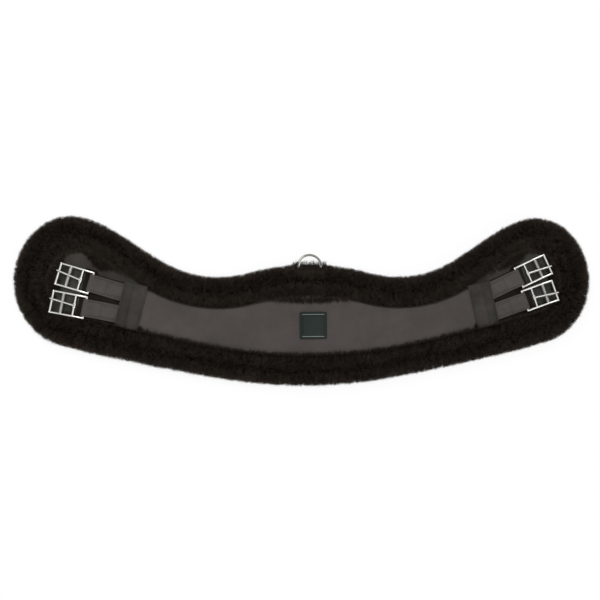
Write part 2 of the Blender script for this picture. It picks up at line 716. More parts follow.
def buckle_frame(corner):
    """Rear bar's middle, direction towards the front bar, and the bar's own direction."""
    middle, axis = joint_place("buckle_swing_" + corner)
    return middle, np.array([-axis[1], axis[0], 0]), axis


CROSS_C, RING_C = node_middle("cross_band_right")[:2], joint_place("ring_swing")[0]


def cross_local(x, y):
    """Place in the frame of the nearer cross band: outwards from its middle, and towards the front."""
    dx, dy = np.abs(x) - CROSS_C[0], y - CROSS_C[1]
    return dx * CROSS_OUT[0] + dy * CROSS_OUT[1], dx * CROSS_UP[0] + dy * CROSS_UP[1]


def cross_place(side, out_by, up_by, z):
    """Points of the girth from places in the frame of the cross band on one side, -1 or 1."""
    x, y = (CROSS_C[k] + out_by * CROSS_OUT[k] + up_by * CROSS_UP[k] for k in (0, 1))
    return np.stack(np.broadcast_arrays(x * side, y, z), -1)


def on_tape(x, y, margin):
    """Whether places lie on a cross band, or within a margin of its edges."""
    out_by, up_by = cross_local(x, y)
    return (np.abs(out_by) < CROSS_W / 2 + margin) & (np.abs(up_by) < CROSS_HALF + 3)


print("cross bands at", [round(float(v), 1) for v in CROSS_C], "and the ring at", RING_C.round(1).tolist())

# %% Tops of the fabric
PANEL_TOP, SEAM_TOP, FACE_RISE, TAPE_TOP = 22.3, 24.2, 2.15, 29.9


def band_height(depth):
    """Top of the face band: low at its seams, full over the webs."""
    return SEAM_TOP + FACE_RISE * ease(depth, 42, 51)


def soft_top(x, y):
    """Depth inside the edge and top of the fabric at places."""
    depth = depth_inside(x, y)
    top = np.where(cross_local(x, y)[0] < -CROSS_W / 2, band_height(depth), PANEL_TOP)
    return depth, np.where(on_tape(x, y, 0.6), TAPE_TOP, top)


print("top of the face band:", SEAM_TOP, "to", round(SEAM_TOP + FACE_RISE, 2), "mm")

# %% Settling rules
CLEAR, UPPER_SIDE = 0.2, 14
LOOP_HALF, LOOP_ROOM, BAR_HALF, BAR_ROOM = 13, 3.7, 19.5, 2.9
RING_SWING, RING_REACH, RING_BOW_R, WIRE_ROOM = joints["ring_swing"]["range_deg"][1], 32, 16.6, 3.6
SHELL_IN, SHELL_OUT, RING_MIDDLE = 14.5, 18.8, 8
BUCKLE_L, BUCKLE_HALF, BUCKLE_TILT, CAMBER, WIRE_BELOW, STRAP_SIDE = 45, 18.8, 7.5, 2.7, 2.5, 12.8


def between(values, low, high):
    return (values > low) & (values < high)


def clear_ring(co):
    """Moves points away from the ring's bar and out of the shell that its bow sweeps through. A blade keeps
    to that side of the shell on which its stem stands, the mean of its first two points."""
    from_bar = np.hypot(co[:, 1] - RING_C[1], co[:, 2] - RING_C[2])
    room = np.where(np.abs(co[:, 0]) < LOOP_HALF, LOOP_ROOM, BAR_ROOM)
    at_bar = (np.abs(co[:, 0]) < BAR_HALF) & (from_bar < room)
    out = (co[at_bar, 1:] - RING_C[1:]) / np.maximum(from_bar[at_bar, None], 0.05)
    co[at_bar, 1:] = RING_C[1:] + out * (room[at_bar, None] + CLEAR)
    off = co - RING_C
    far, from_bar = np.linalg.norm(off, axis=1), np.hypot(off[:, 1], off[:, 2])
    lift = np.degrees(np.arctan2(off[:, 2], off[:, 1]))
    stem = np.repeat((far[::3] + far[1::3]) / 2, 3)
    wire = np.degrees(np.arcsin(np.minimum(1, WIRE_ROOM / np.maximum(from_bar, 0.1))))
    passed = between(lift, -wire, RING_SWING + wire) & (stem < RING_REACH)
    inner = passed & (stem < RING_BOW_R) & (far > SHELL_IN)
    outer = passed & (stem >= RING_BOW_R) & (far < SHELL_OUT)
    goal = np.where(inner, SHELL_IN, SHELL_OUT) / np.maximum(far, 1e-6)
    co[inner | outer] = RING_C + (off * goal[:, None])[inner | outer]
    aside = outer & (np.abs(off[:, 0]) > RING_MIDDLE)
    co[aside, 1:] = RING_C[1:] + off[aside, 1:]
    co[aside, 0] = np.sign(off[aside, 0]) * np.sqrt(SHELL_OUT**2 - from_bar[aside] ** 2)


def lie_down(co, chance):
    """Lays points on the fabric, under the buckles, beside the straps and on the ground."""
    depth, top = soft_top(co[:, 0], co[:, 1])
    low = (depth > 41) & between(co[:, 2], UPPER_SIDE, top + CLEAR)
    co[low, 2] = (top + CLEAR + 0.7 * chance)[low]
    for corner in CORNERS:
        middle, out, axis = buckle_frame(corner)
        u, v = (co - middle) @ out, (co - middle) @ axis
        dip = CAMBER * np.clip(4 * u / BUCKLE_L * (1 - u / BUCKLE_L), 0, 1)
        under = middle[2] + u * math.tan(math.radians(BUCKLE_TILT)) - dip - WIRE_BELOW
        hit = between(u, -4, 52) & (np.abs(v) < BUCKLE_HALF) & (co[:, 2] > under)
        co[hit, 2] = (under - CLEAR - 1.2 * chance)[hit]
        beside = between(u, -46, 4.5) & (np.abs(v) < STRAP_SIDE) & between(co[:, 2], 21, 31)
        co += np.outer(np.where(beside, np.sign(v) * (STRAP_SIDE + 0.5 * chance) - v, 0), axis)
    co[:, 2] = np.maximum(co[:, 2], 0.45 + 0.6 * chance)


print("the ring swings", RING_SWING, "degrees through its parting")

# %% [markdown]
# ## Growing the roll's pile
# The roll is grown in eight stretches, four on each side, so that no piece gets too heavy. Fibres droop a
# little on the outer side and are combed inwards at the seam. Those that lie inside the seam keep the dark
# shade of their roots, as they do between the buckles. Each fibre point also gets a place on a map of tone
# and length, which is what the exporter paints the colours on.

# %% Pile helpers
def fetch(data, key, width=1, kind=np.float32):
    """Values of mesh data as one array."""
    values = np.zeros(len(data) * width, kind)
    data.foreach_get(key, values)
    return values


def read_values(mesh, name):
    return fetch(mesh.attributes[name].data, "value")


def settle_blades(mesh, seed):
    """Moves each blade with its settled spine of three points, and shades those that lie inside the seam."""
    blades = fetch(mesh.vertices, "co", 3).reshape(-1, 5, 3).astype(float) / MM
    spines = np.stack([blades[:, :2].mean(1), blades[:, 2:4].mean(1), blades[:, 4]], 1)
    settled = spines.reshape(-1, 3).copy()
    clear_ring(settled)
    lie_down(settled, np.random.default_rng(seed).random(len(settled)))
    settled = settled.reshape(-1, 3, 3)
    blades += np.repeat(settled - spines, (2, 2, 1), axis=1)
    mesh.vertices.foreach_set("co", (blades * MM).astype(np.float32).ravel())
    x, y, z = settled[:, 0].T
    laid = 0.9 * ease(depth_inside(x, y), 38, 46) * (z > UPPER_SIDE)
    shaded = read_values(mesh, "along") * np.repeat(1 - laid, 5)
    mesh.attributes["along"].data.foreach_set("value", shaded.astype(np.float32))


def map_fibres(mesh):
    """Map of the fibres, tone across and length up, with a sliver of width for each blade."""
    corner_point = fetch(mesh.loops, "vertex_index", kind=np.int32)
    tone, along_fibre, side = (read_values(mesh, key)[corner_point] for key in ("tone", "along", "side"))
    spots = np.stack([0.03 + 0.94 * tone + 0.012 * side, 0.02 + 0.96 * along_fibre], 1)
    mesh.uv_layers.new(name="OFBake").uv.foreach_set("vector", spots.astype(np.float32).ravel())


def make_patch(points, faces, grow=1.0, length=1.0, comb=(0, 0, 0)):
    """Patch of backing, with where fibres grow, how long they are and which way they are combed."""
    patch = make_piece("patch", points, faces, outward=False)
    set_values(patch.data, "grow", np.broadcast_to(grow, len(points)))
    set_values(patch.data, "length", np.broadcast_to(length, len(points)))
    set_values(patch.data, "comb", np.broadcast_to(comb, (len(points), 3)), "FLOAT_VECTOR", "vector")
    return patch


def grow_pile(name, patch, seed, **sizes):
    """Fur on a patch of backing, as one settled piece."""
    mesh = run_tree(patch, PILE_TREE, Seed=seed, Locks=locks, Material=fur, **sizes)
    settle_blades(mesh, seed)
    map_fibres(mesh)
    mesh.update()
    fit(show(name, mesh), "fur")
    bpy.data.objects.remove(patch)
    mesh.calc_loop_triangles()
    print(name, len(mesh.loop_triangles), "triangles")


# %% Grow the roll
ROLL_PILE = dict(Spacing=0.0014, Length=0.92, Upright=1.0, Tuft_Size=0.007, Tuft_Pull=0.2, Loose=0.25)
STRETCHES = ("belly", "flank", "shoulder", "front")
FACE_REACH = ((20, 45, 80, 215, 240), (8.5, 4.0, -3.4, -3.4, 4.0))
SPREAD_FROM = 30


def fur_reach(rows):
    """How far the pile spreads past its seam, over the face and over the panel at the ends."""
    around, x = lobe_angle(rows), np.abs(rim[rows, 0])
    at_end = ease(x, 238, 258)
    bare_patch = ease(around, 48, 62) * ease(around, 108, 92)
    past_bars = ease(around, -60, -35) * ease(around, 48, 30)
    left_strap = ease(around, 106, 140) * (rim[rows, 0] < 0)
    over_panel = 10.5 - 7.5 * bare_patch + 6.5 * past_bars + 6.0 * left_strap
    over_face = np.where(rim_out[rows, 1] > 0, np.interp(x, *FACE_REACH), 1.2)
    return at_end * over_panel + (1 - at_end) * over_face


def taken_up(points):
    """Points on which no fibre can grow, because a tape, a strap or a buckle covers them."""
    taken = on_tape(points[:, 0], points[:, 1], 1)
    inner = depth_inside(points[:, 0], points[:, 1]) > 43
    for corner in CORNERS:
        middle, out, axis = buckle_frame(corner)
        u, v = (points - middle) @ out, (points - middle) @ axis
        taken |= between(u, -48, 47) & (np.abs(v) < np.where(u < 3, 12.5, 15)) & (inner | (u > 2))
    return taken


def roll_patch(rows):
    """Stretch of the roll's surface from which the pile grows."""
    spread = np.outer(fur_reach(rows), np.clip(grow_d - SPREAD_FROM, 0, None) / (grow_d.max() - SPREAD_FROM))
    beside_ring = 2.2 * hump(np.abs(rim[rows, 0]), 22, 4) * (rim_out[rows, 1] > 0)
    beside_ring = np.outer(beside_ring, 1 - ease(grow_d, 8, 40))
    points = swept(rows, grow_d + spread - bulge(rows, grow_d) - beside_ring, grow_z)
    x, y, z = np.abs(points[:, 0]), points[:, 1], points[:, 2]
    inwards = 0.9 * ease(np.tile(grow_d, len(rows)), 29, 39)
    comb = np.zeros((len(points), 3))
    comb[:, 2] = -0.35 * ease(z, 18, 6)
    comb[:, :2] -= np.repeat(rim_out[rows], len(grow_d), 0) * inwards[:, None]
    comb += np.outer(ease(x, 24, 17) * ease(y, 26, 36), (0, 1.4, -0.1))
    length = 1 - 0.3 * (ease(x, 22, 18.5) * ease(y, 38, 42))
    return make_patch(points, quads(len(rows), len(grow_d)), 1.0 - taken_up(points), length, comb)


run = np.concatenate([[0], np.cumsum(np.linalg.norm(np.diff(rim, axis=0), axis=1))])[:half_count]
marks = [int(np.argmin(np.abs(run - run[-1] * k / len(STRETCHES)))) for k in range(len(STRETCHES) + 1)]
for k, place in enumerate(STRETCHES):
    rows = np.arange(marks[k], marks[k + 1] + 1)
    grow_pile(f"fur_{place}_right", roll_patch(rows), 2 * k + 1, **ROLL_PILE)
    grow_pile(f"fur_{place}_left", roll_patch((len(rim) - rows[::-1]) % len(rim)), 2 * k + 2, **ROLL_PILE)

# %% Fur over the ring's loop
across, along_y = np.linspace(-23, 23, 24), np.linspace(37, 52.6, 10)
flap_points = [(x, y - 0.0016 * x * x, 22.4 - 0.003 * x * x) for y in along_y for x in across]
flap = make_patch(flap_points, quads(len(along_y), len(across)), comb=(0, 1.5, 0))
flap.data.flip_normals()
grow_pile("fur_ring_flap", flap, 9, **(ROLL_PILE | {"Length": 0.9, "Upright": 0.8}))

# %% [markdown]
# ## Lining and core
# The horse's side is lined with the same fur, which lies flat under the girth's weight. Its backing and the
# foam core are plain pads, because the roll and the face hide them. The lining's locks lean far over and
# rest on the ground.

# %% Lining and foam
LINING_PILE = dict(Spacing=0.0036, Length=1.15, Upright=0.4, Tuft_Size=0.014, Tuft_Pull=0.8, Loose=0.8)
CELL, LINING_SKIN, LINING_EDGE = 5.0, 4.6, 9
lining_rings = [(44, 4.0), (42.8, 4.5), (42.5, 5.5), (42.5, 8.3), (42.8, 9.3), (44, 9.8)]
foam_rings = [(45, 10.0), (43, 10.7), (42.5, 12), (42.5, 17.8), (43, 19.1), (45, 19.8)]


def raised(places, z):
    """Places with a height added."""
    return np.column_stack([places, np.broadcast_to(z, len(places))])


def pad(name, rings, material):
    """Closed pad from a stack of outlines, each at a depth inside the edge and a height."""
    points = [raised(rim[::2] - d * rim_out[::2], z) for d, z in rings]
    return make_piece(name, np.concatenate(points), quads(len(rings), len(points[0]), tube=True), material)


def inside(points):
    """Whether points lie inside the edge."""
    near = [int(np.argmin(((rim - point) ** 2).sum(1))) for point in points]
    return ((points - rim[near]) * rim_out[near]).sum(1) < 0


fit(pad("fur_lining_backing", lining_rings, fur_backing), "fur", "fur_lining", padded=0.7)
fit(pad("foam_pad", foam_rings, foam_finish), "foam", "foam_core", padded=0.9)
spots = grid_points(np.arange(-400, 400, CELL), np.arange(-120, 120, CELL))
middles = spots + CELL / 2
spots = spots[inside(middles) & (depth_inside(*middles.T) > LINING_EDGE)]
for name, side, seed in (("fur_lining_left", -1, 11), ("fur_lining_right", 1, 12)):
    chosen = spots[(spots[:, 0] + CELL / 2) * side > 0]
    corners = np.concatenate([chosen + step for step in ([0, 0], [0, CELL], [CELL, CELL], [CELL, 0])])
    points = raised(corners, LINING_SKIN)
    faces = np.arange(len(points)).reshape(4, -1).T.tolist()
    grow_pile(name, make_patch(points, faces), seed, **LINING_PILE)

# %% [markdown]
# ## Panel and load tapes
# Under the straps and buckles lies a panel of cloth, rolled off where the fur strip is sewn on. A coarse
# woven patch guards it from each pair of buckles. Two load tapes, hidden by the face band, run along the
# girth and carry the pull from the straps of one end to those of the other. Flat goods like these are
# quickest as plain strips of quads.

# %% Panel
panel_rings = [(44, 20.0), (41.6, 20.1), (41.2, 20.3), (43, 20.6), (47, 21.1), (52, 21.5), (58, 21.65)]
panel_cover = fit(pad("panel_cover", panel_rings, panel_cloth), "panel_fabric", "base_panel", padded=0.4)
print("panel:", len(panel_cover.data.polygons), "faces")

# %% Buckle guards
GUARD_T, GUARD_HALF, GUARD_WAIST, SHADE_U = 0.3, 18.5, ((-7, -3), (0.73, 1)), 13
guard_u, share = np.linspace(-42, 45, 45), np.linspace(0, 1, 32)[:, None, None]
guard_half = GUARD_HALF * np.interp(guard_u, *GUARD_WAIST)
rows, columns = len(share), len(guard_u)
index = np.arange(rows * columns).reshape(rows, columns)
border = np.concatenate([index[0], index[1:, -1], index[-1, -2::-1], index[-2:0:-1, 0]]).tolist()
guard_faces = quads(rows, columns)
guard_faces += [tuple(k + index.size for k in face) for face in guard_faces]
guard_faces += [(a, b, b + index.size, a + index.size) for a, b in zip(border, border[1:] + border[:1])]


def second_finish(piece, faces):
    """Gives some faces of a piece its second material."""
    for k in faces:
        piece.data.polygons[k].material_index = 1


for side in ("left", "right"):
    edges = []
    for corner, way in ((side + "_rear", -1), (side + "_front", 1)):
        middle, out, axis = buckle_frame(corner)
        forwards = axis * np.sign(axis[1])
        edges.append(middle + np.outer(guard_u, out) + np.outer(way * guard_half, forwards))
    flat = ((1 - share) * edges[0] + share * edges[1]).reshape(-1, 3)[:, :2]
    level = np.interp(depth_inside(*flat.T), *np.transpose(panel_rings[2:]))
    points = np.concatenate([raised(flat, level + lift) for lift in (GUARD_T, 0.02)])
    guard = make_piece("buckle_guard_" + side, points, guard_faces, guard_cloth, shade_cloth)
    second_finish(guard, np.flatnonzero(np.tile(guard_u[1:] < SHADE_U, rows - 1)).tolist())
    fit(guard, "panel_fabric")
print("buckle guards: 2")

# %% Load tapes
WEB_C, WEB_R, WEB_OFFSET, WEB_W, WEB_HALF_ANGLE = np.array([0, 699.657]), 745.895, 11, 20, 19.87
WEB_Z, WEB_T = 23.1, 2.1


def tape_loop(width, thick, groove):
    """Section of a flat tape: rounded edges, and a creased line near each edge of the upper side."""
    half, t = width / 2, thick / 2
    crease = [(half - 1.9, t), (half - 2.3, t - groove), (half - 2.7, t)]
    lower = [(half - 0.3, 0.72 * t), (half - 0.9, t), (half * 0.4, t)]
    upper, lower = np.array([(half, 0), *lower[:2], *crease, lower[2]]), np.array(lower)
    return np.concatenate([upper, upper[::-1] * [-1, 1], -lower, lower[::-1] * [1, -1]])


def tape(name, path, width, thick, place, material, groove=0.0):
    """Flat tape along a path of pairs (along, height); place turns along, across and height into points."""
    heading = np.gradient(path, axis=0)
    heading /= np.linalg.norm(heading, axis=1)[:, None]
    loop = tape_loop(width, thick, groove)
    up = np.stack([-heading[:, 1], heading[:, 0]], 1)
    spots = path[:, None] + up[:, None] * loop[None, :, 1:2]
    across = np.broadcast_to(loop[None, :, 0], spots.shape[:2])
    points = place(spots[..., 0].ravel(), across.ravel(), spots[..., 1].ravel())
    return make_piece(name, points, quads(len(path), len(loop), tube=True), material)


def on_arc(radius):
    """Place function of a tape that runs round the webs' centre, along in degrees."""

    def place(angle, across, height):
        r, a = radius + across, np.radians(angle - 90)
        return np.column_stack([WEB_C[0] + r * np.cos(a), WEB_C[1] + r * np.sin(a), height])

    return place


web_path = raised(np.linspace(-WEB_HALF_ANGLE, WEB_HALF_ANGLE, 90), WEB_Z)
for name, row in (("front", 1), ("rear", -1)):
    on_web = on_arc(WEB_R - row * WEB_OFFSET)
    fit(tape("web_tape_" + name, web_path, WEB_W, WEB_T, on_web, web_cloth), "webbing", "load_web_" + name)
print("load tapes: 2")

# %% [markdown]
# ## Face band
# The face is one piece of coated cloth, sewn down along both seams and tucked under the cross bands. Sewn
# cloth never lies quite flat. So the band starts as a grid that rises from its seams and has the few
# creases that the folded girth got, and Blender's cloth simulation then lets it settle with a little spare
# length and a light pressure from the padding. Its seams and the place of the label stay pinned, and no
# point moves far.

# %% Face band grid
SEAM, BAND_T, TUCK, TUCK_X = 43.0, 1.3, 2.4, 236.0
LABEL_C, LABEL_HALF = node_middle("label_patch")[:2], 19.0
CREASES = ((-112, 0.55), (35, 0.5), (109.5, 0.55), (-58, 0.35), (171, 0.4))
CREASE_W, CREASE_SLANT = 2.3, 0.06
NECK_FROM, NECK_TO, NECK_WIDE, NECK_HALF = -24, -16.8, 45, 27.7
seam_line = rim - SEAM * rim_out


def seam_y(x, front):
    """Height in the plan of a seam at x."""
    pick = ((rim_out[:, 1] > 0) == front) & (np.abs(seam_line[:, 0]) < 300)
    order = np.argsort(seam_line[pick, 0])
    return np.interp(x, seam_line[pick, 0][order], seam_line[pick, 1][order])


def tuck_x(front):
    """Where a seam meets the line on which the band ends, under the cross band."""
    start, x = CROSS_C - CROSS_OUT * TUCK, TUCK_X
    for _ in range(8):
        x = start[0] + CROSS_UP[0] * (seam_y(x, front) - start[1]) / CROSS_UP[1]
    return x


columns, rows = 168, 26
share, rise = np.linspace(-1, 1, columns)[None, :], np.linspace(0, 1, rows)[:, None]
low_x, high_x = share * tuck_x(False), share * tuck_x(True)
band_x = ((1 - rise) * low_x + rise * high_x).ravel()
band_y = ((1 - rise) * seam_y(low_x, False) + rise * seam_y(high_x, True)).ravel()
out_by, up_by = cross_local(band_x, band_y)
limit = NECK_WIDE - (NECK_WIDE - NECK_HALF) * ease(out_by, NECK_FROM, NECK_TO)
kept_in = np.sign(up_by) * (limit + 0.04 * (np.abs(up_by) - limit))
squeezed = cross_place(np.sign(band_x), out_by, kept_in, 0)
past = (out_by >= NECK_FROM) & (np.abs(up_by) > limit)
band_x, band_y = np.where(past, squeezed[:, 0], band_x), np.where(past, squeezed[:, 1], band_y)
depth = depth_inside(band_x, band_y)
to_label = np.maximum(np.abs(band_x - LABEL_C[0]), np.abs(band_y - LABEL_C[1])) - LABEL_HALF
free = ease(to_label, 1, 12)
wander = np.array([noise.noise(Vector((x, y, 0)) * 0.045) for x, y in zip(band_x, band_y)])
band_z = band_height(depth)
for at, fold in CREASES:
    aside = band_x - at + CREASE_SLANT * (band_y + 32) + 3 * wander
    band_z -= free * fold * hump(aside, 0, CREASE_W) * ease(depth, 43, 52)
band_z += free * 0.12 * wander
band_points = np.column_stack([band_x, band_y, band_z])
band_faces = [face[::-1] for face in quads(rows, columns)]
band = make_piece("face_band", band_points, band_faces, face_leather, outward=False)
print("face band:", len(band.data.polygons), "faces")


# %% Settle the face band
def settle_cloth(piece, pinned, frames, cap):
    """Runs the cloth simulation on a piece, keeps the result in its mesh and caps the movement, in mm."""
    start = fetch(piece.data.vertices, "co", 3, float)
    piece.vertex_groups.new(name="pins").add([int(k) for k in np.flatnonzero(pinned)], 1.0, "REPLACE")
    cloth = piece.modifiers.new("cloth", "CLOTH")
    rules = cloth.settings
    rules.quality, rules.mass = 6, 0.05
    rules.tension_stiffness = rules.compression_stiffness = 25
    rules.bending_stiffness, rules.shrink_min = 3.0, -0.001
    rules.use_pressure, rules.uniform_pressure_force = True, 0.3
    rules.vertex_group_mass, rules.effector_weights.gravity = "pins", 0
    cloth.point_cache.frame_start, cloth.point_cache.frame_end = 1, frames
    for step in range(1, frames + 1):
        scene.frame_set(step)
    graph = bpy.context.evaluated_depsgraph_get()
    end = fetch(piece.evaluated_get(graph).data.vertices, "co", 3, float)
    piece.modifiers.remove(cloth)
    piece.vertex_groups.clear()
    scene.frame_set(1)
    moved = (end - start).reshape(-1, 3) / MM
    cap = np.where(moved < 0, cap / 2, cap)
    moved = cap * np.tanh(moved / cap)
    piece.data.vertices.foreach_set("co", start + (moved * MM).ravel())
    piece.data.update()
    return np.abs(moved).max()


in_tuck = np.abs(cross_local(band_x, band_y)[0] + 8) < 9
held = (depth < SEAM + 0.6) | in_tuck | (to_label < 2)
print("cloth moved up to", round(float(settle_cloth(band, held, 20, 0.7)), 2), "mm")
shell = band.modifiers.new("thickness", "SOLIDIFY")
shell.thickness, shell.offset = BAND_T * MM, -1
smooth = band.modifiers.new("smooth", "SUBSURF")
smooth.levels = smooth.render_levels = 1
fit(band, "face_leather", "centre_band", padded=0.5)

# %% [markdown]
# ## Cross bands
# At each end a sewn band bridges the straps' roots and the end of the face. It is two tiers of tape, the
# one on the straps' side lying on the other, and it dips a little between the two straps. Its ends go down
# at the sides of the straps into the fur. The grid follows that arch, and is thinned to nothing along its
# edges so that they look turned in.

# %% Cross bands
TIER, TIER_AT, CROSS_EDGE = 0.55, (1.1, 1.8), (5, 9, 13, 14.7, 15.4, 15.85, 16)
stations = np.array([-v for v in CROSS_EDGE[::-1]] + [-1.5, 0.9, 1.3, 1.6, 2.0, 2.6] + list(CROSS_EDGE))


def arch(half, top, corner):
    """Line of a cross band's section: across the girth, and height."""
    a = np.radians(np.linspace(0, 90, 6))
    right = np.column_stack([half - corner + corner * np.cos(a), top - corner + corner * np.sin(a)])
    right = np.concatenate([[(half, 20.7), (half, 23)], right])
    flat = np.linspace(half - corner, corner - half, 30)[1:-1]
    return np.concatenate([right, raised(flat, top), (right * [-1, 1])[::-1]])


def sag(up_by):
    """How far a cross band dips, between the two straps and at its shoulders."""
    return 0.45 * hump(up_by, 0, 2.6) + 0.15 * hump(np.abs(up_by), 27, 2)


over, under = arch(31.2, 28.5, 2.5), arch(29.5, 26.85, 1.2)
line, twin = np.concatenate([over, under[::-1]]), np.concatenate([under, over[::-1]])
middle, line_z, on_top = (line + twin) / 2, line[:, 1], np.arange(len(line)) < len(over)
full = np.sqrt(np.maximum(0, 1 - np.maximum(0, (np.abs(stations) - 14.9) / 1.1) ** 2))
tier = TIER * ease(stations, *TIER_AT) + 0.12 * np.cos(stations / 16 * math.pi)
cross_spots = middle + (line - middle) * full[:, None, None]
lift = np.outer(tier, on_top & (line_z > 25)) - sag(cross_spots[..., 0]) * (line_z > 26)
for side, name in ((-1, "left"), (1, "right")):
    points = cross_place(side, stations[:, None], cross_spots[..., 0], cross_spots[..., 1] + lift)
    faces = quads(len(stations), len(line), tube=True)
    cross_tape = make_piece("cross_tape_" + name, points.reshape(-1, 3), faces, band_tape, outer_tape)
    outer_from = int(np.argmax(stations > 1.2))
    second_finish(cross_tape, range(outer_from * len(line), (len(stations) - 1) * len(line)))
    fit(cross_tape, "band_leather", "cross_band_" + name)
print("cross bands: 2 of", len(cross_tape.data.polygons), "faces")

# %% [markdown]
# ## Straps and ring loop
# Each strap is one strip, folded round the rear bar of its buckle and sewn to itself. The path is drawn
# from the side: along the top, up over the bar, round it and back underneath. The ring's loop is a narrower
# tape folded the same way.

# %% Folded tapes
STRAP_W, STRAP_T, STRAP_REACH, REAR_BAR_Z, STRAP_GROOVE = 24.4, 2.14, 44, 26, 0.22
LOOP_W, LOOP_T = 25, 1.44
FLAT_STEPS, PART_STEPS = 12, 14


def fold_path(start, end, bar, bar_z, radius, upper, lower):
    """Side view of a tape that runs to a bar, round it and back: pairs of place and height. Each of its two
    layers has a height, and a length over which it parts from that height to reach the bar."""

    def layer(far, level, parting, edge):
        flat = np.linspace(far, bar - parting, FLAT_STEPS + 1)[:-1]
        t = np.linspace(0, 1, PART_STEPS) if parting else np.ones(1)
        part = np.column_stack([bar - parting + parting * t, level + (edge - level) * ease(t, 0, 1)])
        return np.concatenate([raised(flat, level), part])

    a = np.radians(np.linspace(90, -90, 18))[1:-1]
    bend = np.column_stack([bar + radius * np.cos(a), bar_z + radius * np.sin(a)])
    below = layer(end, *lower, bar_z - radius)
    return np.concatenate([layer(start, *upper, bar_z + radius), bend, below[::-1]])


def on_strap(corner):
    """Place function of a strap, along it from its root."""
    middle, out, axis = buckle_frame(corner)

    def place(along_it, across, height):
        flat = middle + np.outer(along_it - STRAP_REACH, out) + np.outer(across, axis)
        return raised(flat[:, :2], height)

    return place


strap_path = fold_path(-13.5, -4, STRAP_REACH, REAR_BAR_Z, 2.9, (25.3, 18), (23.1, 0))
loop_path = fold_path(12, 12, RING_C[1], RING_C[2], 2.45, (19.25, 6), (17.75, 6))
for corner in CORNERS:
    name, place = "strap_fold_" + corner, on_strap(corner)
    strap_fold = tape(name, strap_path, STRAP_W, STRAP_T, place, strap_leather, STRAP_GROOVE)
    fit(strap_fold, "face_leather", "strap_" + corner)
ring_loop = tape(
    "ring_loop", loop_path, LOOP_W, LOOP_T, lambda y, x, z: np.column_stack([x, y, z]), web_cloth
)
fit(ring_loop, "webbing", "ring_tab")
print("straps: 4, ring loop: 1")

# %% [markdown]
# ## Label
# A small moulded patch is sewn on the face. It stays bare here: only its raised rim, a raised line along
# its upper and its lower side and the sewn border are made. It is built as a stack of rounded squares, each
# with its own size and height.

# %% Label
side_rings = [(18.9, 26.3), (19.0, 26.5), (19.0, 27.3)]
rim_rings = [(18.75, 27.62), (18.3, 27.76), (17.7, 27.76), (17.3, 27.6)]
line_rings = [(15.8, 27.62), (15.65, 27.68), (15.1, 27.68), (14.95, 27.62)]
label_rings = side_rings + rim_rings + [(17.1, 27.35), (15.9, 27.35)]
label_rings += line_rings + [(14.85, 27.35), (12, 27.4)]
line_from = label_rings.index(line_rings[0])


def rounded_square(half, z):
    """Points round a square with rounded corners, which are tighter in smaller squares."""
    a, corner = np.radians(np.linspace(0, 90, 6)), max(0.4, 2 - (LABEL_HALF - half) * 0.4)
    x, y = half - corner + corner * np.cos(a), half - corner + corner * np.sin(a)
    quarters = [np.column_stack(pair) for pair in ((x, y), (-y, x), (-x, -y), (y, -x))]
    return raised(LABEL_C + np.concatenate(quarters), z)


squares = [rounded_square(*ring) for ring in label_rings]
around = len(squares[0])
label_faces = quads(len(squares), around, tube=True)
badge = make_piece("label_badge", np.concatenate(squares), label_faces, badge_rubber, frame_line)
for k in range(around * line_from, around * (line_from + len(line_rings))):
    off = np.abs(np.array(badge.data.polygons[k].center)[:2] / MM - LABEL_C)
    if off[1] > off[0]:
        second_finish(badge, [k])
fit(badge, "label", "label_patch")
print("label:", len(badge.data.polygons), "faces")

# %% [markdown]
# ## Stitches
# Stitches repeat along paths, which is what Geometry Nodes are for. The paths are bare edges: the tree
# turns them into curves, cuts them at the stitch spacing and puts a small arched capsule on each point,
# turned along the seam.

# %% Stitch tree
def make_stitch():
    points = []
    for t in np.linspace(-1, 1, 5):
        size = math.sqrt(max(0.05, 1 - t**4))
        points += [
            (t * 1.25, 0.38 * size * math.cos(a), 0.34 * size * math.sin(a) + 0.12 - 0.34 * t * t)
            for a in np.radians(np.arange(0, 360, 60))
        ]
    return make_piece("stitch", points, quads(5, 6, tube=True))


def build_stitches():
    inputs = {"Geometry": "Geometry", "Spacing": "Float", "Stitch": "Object", "Material": "Material"}
    tree, given, made = new_group("stitch_row", "GeometryNodeTree", inputs, {"Geometry": "Geometry"})
    seam = add(tree, "GeometryNodeMeshToCurve", {"Mesh": given["Geometry"]})[0]
    links = {"Curve": seam, "Length": given["Spacing"]}
    cut = add(tree, "GeometryNodeResampleCurve", links, mode="LENGTH")[0]
    heading = add(tree, "GeometryNodeInputTangent")[0]
    aim = add(tree, "FunctionNodeAlignRotationToVector", {"Vector": heading}, axis="X")[0]
    links = {"Rotation": aim, "Vector": (0, 0, 1)}
    aim = add(tree, "FunctionNodeAlignRotationToVector", links, axis="Z", pivot_axis="X")[0]
    shape = add(tree, "GeometryNodeObjectInfo", {"Object": given["Stitch"]})["Geometry"]
    links = {"Points": cut, "Instance": shape, "Rotation": aim}
    finish_tree(tree, add(tree, "GeometryNodeInstanceOnPoints", links), given, made)
    return tree


STITCH_TREE, stitch = build_stitches(), make_stitch()
print("stitch:", len(stitch.data.polygons), "faces")

